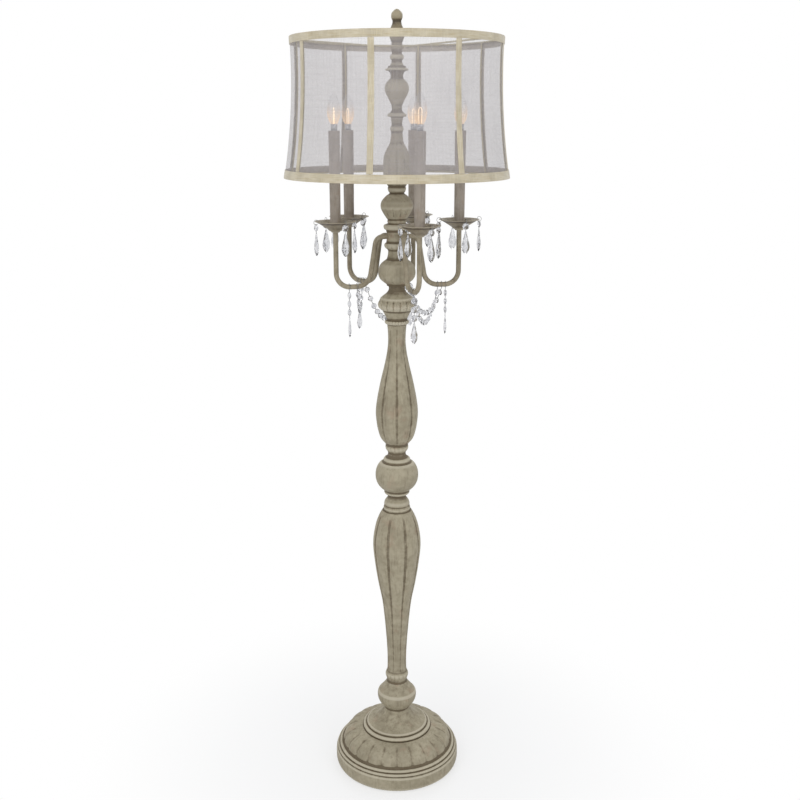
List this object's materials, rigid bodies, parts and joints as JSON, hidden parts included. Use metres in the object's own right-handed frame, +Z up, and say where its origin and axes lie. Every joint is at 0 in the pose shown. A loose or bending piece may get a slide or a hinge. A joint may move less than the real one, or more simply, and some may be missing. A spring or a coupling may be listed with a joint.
{
  "type": "candlestick floor lamp",
  "caption": "Floor lamp with a fluted turned column, curved candle arms, hanging crystal drops and a sheer drum shade.",
  "frame": {"origin": "centre of the base's underside, on the floor", "axes": "+Z up the column; the pictured front faces -Y and +X is the viewer's right"},
  "size_m": [0.4378, 0.4396, 1.6],
  "materials": {
    "antique_putty": "weathered putty paint over cast resin",
    "ballast_iron": "raw casting",
    "felt_pad": "dark felt",
    "plated_steel": "zinc plated",
    "bushing_black": "moulded black",
    "antique_metal": "weathered putty paint",
    "candle_cream": "antique putty candle cover",
    "socket_phenolic": "moulded black",
    "bulb_glass": "clear glass",
    "crystal": "clear faceted glass",
    "sheer_fabric": "sheer organza",
    "gold_ribbon": "pale gold satin ribbon",
    "frame_wire": "enamelled wire",
    "finial_bronze": "antique pewter bronze"
  },
  "bodies": {
    "stand": {"arm_hub": "antique_putty", "arms": "antique_metal", "base_casting": "antique_putty", "base_fixings": "plated_steel", "base_pad": "felt_pad", "base_weight": "ballast_iron", "bell_column": "antique_putty", "candle_sleeves": "candle_cream", "collar_ring": "antique_putty", "cord_bushing": "bushing_black", "drip_dishes": "antique_metal", "foot_knop": "antique_putty", "hub_ball": "antique_putty", "lamp_pipe": "plated_steel", "leaf_capital": "antique_putty", "lower_baluster": "antique_putty", "middle_ball": "antique_putty", "sockets": "socket_phenolic", "top_knob": "antique_putty", "top_spindle": "antique_putty", "upper_baluster": "antique_putty", "upper_knop": "antique_putty"},
    "shade": {"shade_fabric": "sheer_fabric", "shade_frame": "frame_wire", "shade_trims": "gold_ribbon"},
    "finial_body": {"finial": "finial_bronze"},
    "bulb_a_body": {"bulb_a": "bulb_glass"},
    "bulb_b_body": {"bulb_b": "bulb_glass"},
    "bulb_c_body": {"bulb_c": "bulb_glass"},
    "bulb_d_body": {"bulb_d": "bulb_glass"},
    "bulb_e_body": {"bulb_e": "bulb_glass"},
    "drop_a1_body": {"drop_a1": "crystal"},
    "drop_a2_body": {"drop_a2": "crystal"},
    "drop_a3_body": {"drop_a3": "crystal"},
    "drop_a4_body": {"drop_a4": "crystal"},
    "drop_b1_body": {"drop_b1": "crystal"},
    "drop_b2_body": {"drop_b2": "crystal"},
    "drop_b3_body": {"drop_b3": "crystal"},
    "drop_b4_body": {"drop_b4": "crystal"},
    "drop_c1_body": {"drop_c1": "crystal"},
    "drop_c2_body": {"drop_c2": "crystal"},
    "drop_c3_body": {"drop_c3": "crystal"},
    "drop_c4_body": {"drop_c4": "crystal"},
    "drop_d1_body": {"drop_d1": "crystal"},
    "drop_d2_body": {"drop_d2": "crystal"},
    "drop_d3_body": {"drop_d3": "crystal"},
    "drop_d4_body": {"drop_d4": "crystal"},
    "drop_e1_body": {"drop_e1": "crystal"},
    "drop_e2_body": {"drop_e2": "crystal"},
    "drop_e3_body": {"drop_e3": "crystal"},
    "drop_e4_body": {"drop_e4": "crystal"},
    "pendant_a_body": {"pendant_a": "crystal"},
    "pendant_b_body": {"pendant_b": "crystal"},
    "pendant_c_body": {"pendant_c": "crystal"},
    "pendant_d_body": {"pendant_d": "crystal"},
    "pendant_e_body": {"pendant_e": "crystal"},
    "garland_de_body": {"garland_de": "crystal"},
    "garland_ec_body": {"garland_ec": "crystal"},
    "garland_cb_body": {"garland_cb": "crystal"},
    "garland_ba_body": {"garland_ba": "crystal"}
  },
  "joints": [
    {"name": "shade_turn", "type": "hinge", "parent": "stand", "child": "shade", "pos_m": [0, 0, 1.532], "axis": [0, 0, 1], "continuous": true},
    {"name": "finial_turn", "type": "hinge", "parent": "stand", "child": "finial_body", "pos_m": [0, 0, 1.535], "axis": [0, 0, 1], "continuous": true},
    {"name": "bulb_a_turn", "type": "hinge", "parent": "stand", "child": "bulb_a_body", "pos_m": [-0.1192, -0.03418, 1.3794], "axis": [0, 0, 1], "continuous": true},
    {"name": "bulb_b_turn", "type": "hinge", "parent": "stand", "child": "bulb_b_body", "pos_m": [-0.09771, 0.07634, 1.3794], "axis": [0, 0, 1], "continuous": true},
    {"name": "bulb_c_turn", "type": "hinge", "parent": "stand", "child": "bulb_c_body", "pos_m": [0.03418, 0.1192, 1.3794], "axis": [0, 0, 1], "continuous": true},
    {"name": "bulb_d_turn", "type": "hinge", "parent": "stand", "child": "bulb_d_body", "pos_m": [0.04241, -0.11652, 1.3794], "axis": [0, 0, 1], "continuous": true},
    {"name": "bulb_e_turn", "type": "hinge", "parent": "stand", "child": "bulb_e_body", "pos_m": [0.12353, 0.01081, 1.3794], "axis": [0, 0, 1], "continuous": true},
    {"name": "drop_a1_swing", "type": "hinge", "parent": "stand", "child": "drop_a1_body", "pos_m": [-0.15527, -0.05501, 1.2089], "axis": [0.5, -0.866, 0], "range_deg": [-15, 15]},
    {"name": "drop_a2_swing", "type": "hinge", "parent": "stand", "child": "drop_a2_body", "pos_m": [-0.09837, -0.07025, 1.2089], "axis": [0.866, 0.5, 0], "range_deg": [-15, 15]},
    {"name": "drop_a3_swing", "type": "hinge", "parent": "stand", "child": "drop_a3_body", "pos_m": [-0.08312, -0.01335, 1.2089], "axis": [-0.5, 0.866, 0], "range_deg": [-15, 15]},
    {"name": "drop_a4_swing", "type": "hinge", "parent": "stand", "child": "drop_a4_body", "pos_m": [-0.14002, 0.00189, 1.2089], "axis": [-0.866, -0.5, 0], "range_deg": [-15, 15]},
    {"name": "drop_b1_swing", "type": "hinge", "parent": "stand", "child": "drop_b1_body", "pos_m": [-0.12717, 0.04689, 1.2089], "axis": [0.7071, -0.7071, 0], "range_deg": [-15, 15]},
    {"name": "drop_b2_swing", "type": "hinge", "parent": "stand", "child": "drop_b2_body", "pos_m": [-0.06826, 0.04689, 1.2089], "axis": [0.7071, 0.7071, 0], "range_deg": [-15, 15]},
    {"name": "drop_b3_swing", "type": "hinge", "parent": "stand", "child": "drop_b3_body", "pos_m": [-0.06826, 0.1058, 1.2089], "axis": [-0.7071, 0.7071, 0], "range_deg": [-15, 15]},
    {"name": "drop_b4_swing", "type": "hinge", "parent": "stand", "child": "drop_b4_body", "pos_m": [-0.12717, 0.1058, 1.2089], "axis": [-0.7071, -0.7071, 0], "range_deg": [-15, 15]},
    {"name": "drop_c1_swing", "type": "hinge", "parent": "stand", "child": "drop_c1_body", "pos_m": [0.00473, 0.08974, 1.2089], "axis": [0.7071, -0.7071, 0], "range_deg": [-15, 15]},
    {"name": "drop_c2_swing", "type": "hinge", "parent": "stand", "child": "drop_c2_body", "pos_m": [0.06363, 0.08974, 1.2089], "axis": [0.7071, 0.7071, 0], "range_deg": [-15, 15]},
    {"name": "drop_c3_swing", "type": "hinge", "parent": "stand", "child": "drop_c3_body", "pos_m": [0.06363, 0.14865, 1.2089], "axis": [-0.7071, 0.7071, 0], "range_deg": [-15, 15]},
    {"name": "drop_c4_swing", "type": "hinge", "parent": "stand", "child": "drop_c4_body", "pos_m": [0.00473, 0.14865, 1.2089], "axis": [-0.7071, -0.7071, 0], "range_deg": [-15, 15]},
    {"name": "drop_d1_swing", "type": "hinge", "parent": "stand", "child": "drop_d1_body", "pos_m": [0.00634, -0.13735, 1.2089], "axis": [0.5, -0.866, 0], "range_deg": [-15, 15]},
    {"name": "drop_d2_swing", "type": "hinge", "parent": "stand", "child": "drop_d2_body", "pos_m": [0.06324, -0.15259, 1.2089], "axis": [0.866, 0.5, 0], "range_deg": [-15, 15]},
    {"name": "drop_d3_swing", "type": "hinge", "parent": "stand", "child": "drop_d3_body", "pos_m": [0.07848, -0.0957, 1.2089], "axis": [-0.5, 0.866, 0], "range_deg": [-15, 15]},
    {"name": "drop_d4_swing", "type": "hinge", "parent": "stand", "child": "drop_d4_body", "pos_m": [0.02158, -0.08045, 1.2089], "axis": [-0.866, -0.5, 0], "range_deg": [-15, 15]},
    {"name": "drop_e1_swing", "type": "hinge", "parent": "stand", "child": "drop_e1_body", "pos_m": [0.08329, 0.00003, 1.2089], "axis": [0.2588, -0.9659, 0], "range_deg": [-15, 15]},
    {"name": "drop_e2_swing", "type": "hinge", "parent": "stand", "child": "drop_e2_body", "pos_m": [0.13431, -0.02943, 1.2089], "axis": [0.9659, 0.2588, 0], "range_deg": [-15, 15]},
    {"name": "drop_e3_swing", "type": "hinge", "parent": "stand", "child": "drop_e3_body", "pos_m": [0.16376, 0.02159, 1.2089], "axis": [-0.2588, 0.9659, 0], "range_deg": [-15, 15]},
    {"name": "drop_e4_swing", "type": "hinge", "parent": "stand", "child": "drop_e4_body", "pos_m": [0.11275, 0.05104, 1.2089], "axis": [-0.9659, -0.2588, 0], "range_deg": [-15, 15]},
    {"name": "pendant_a_swing", "type": "hinge", "parent": "stand", "child": "pendant_a_body", "pos_m": [-0.0942, -0.02701, 1.08], "axis": [-0.9613, -0.2756, 0], "range_deg": [-12, 12]},
    {"name": "pendant_b_swing", "type": "hinge", "parent": "stand", "child": "pendant_b_body", "pos_m": [-0.07723, 0.06033, 1.08], "axis": [-0.788, 0.6157, 0], "range_deg": [-12, 12]},
    {"name": "pendant_c_swing", "type": "hinge", "parent": "stand", "child": "pendant_c_body", "pos_m": [0.02701, 0.0942, 1.08], "axis": [0.2756, 0.9613, 0], "range_deg": [-12, 12]},
    {"name": "pendant_d_swing", "type": "hinge", "parent": "stand", "child": "pendant_d_body", "pos_m": [0.03352, -0.09209, 1.08], "axis": [0.342, -0.9397, 0], "range_deg": [-12, 12]},
    {"name": "pendant_e_swing", "type": "hinge", "parent": "stand", "child": "pendant_e_body", "pos_m": [0.09763, 0.00854, 1.08], "axis": [0.9962, 0.0872, 0], "range_deg": [-12, 12]},
    {"name": "garland_de_swing", "type": "hinge", "parent": "stand", "child": "garland_de_body", "pos_m": [0.03078, -0.08457, 1.08], "axis": [0.4853, 0.8744, 0], "range_deg": [-5, 5]},
    {"name": "garland_ec_swing", "type": "hinge", "parent": "stand", "child": "garland_ec_body", "pos_m": [0.08966, 0.00784, 1.08], "axis": [-0.6867, 0.7269, 0], "range_deg": [-5, 5]},
    {"name": "garland_cb_swing", "type": "hinge", "parent": "stand", "child": "garland_cb_body", "pos_m": [0.02481, 0.08651, 1.08], "axis": [-0.9275, -0.3737, 0], "range_deg": [-5, 5]},
    {"name": "garland_ba_swing", "type": "hinge", "parent": "stand", "child": "garland_ba_body", "pos_m": [-0.07092, 0.05541, 1.08], "axis": [-0.1008, -0.9949, 0], "range_deg": [-5, 5]}
  ]
}
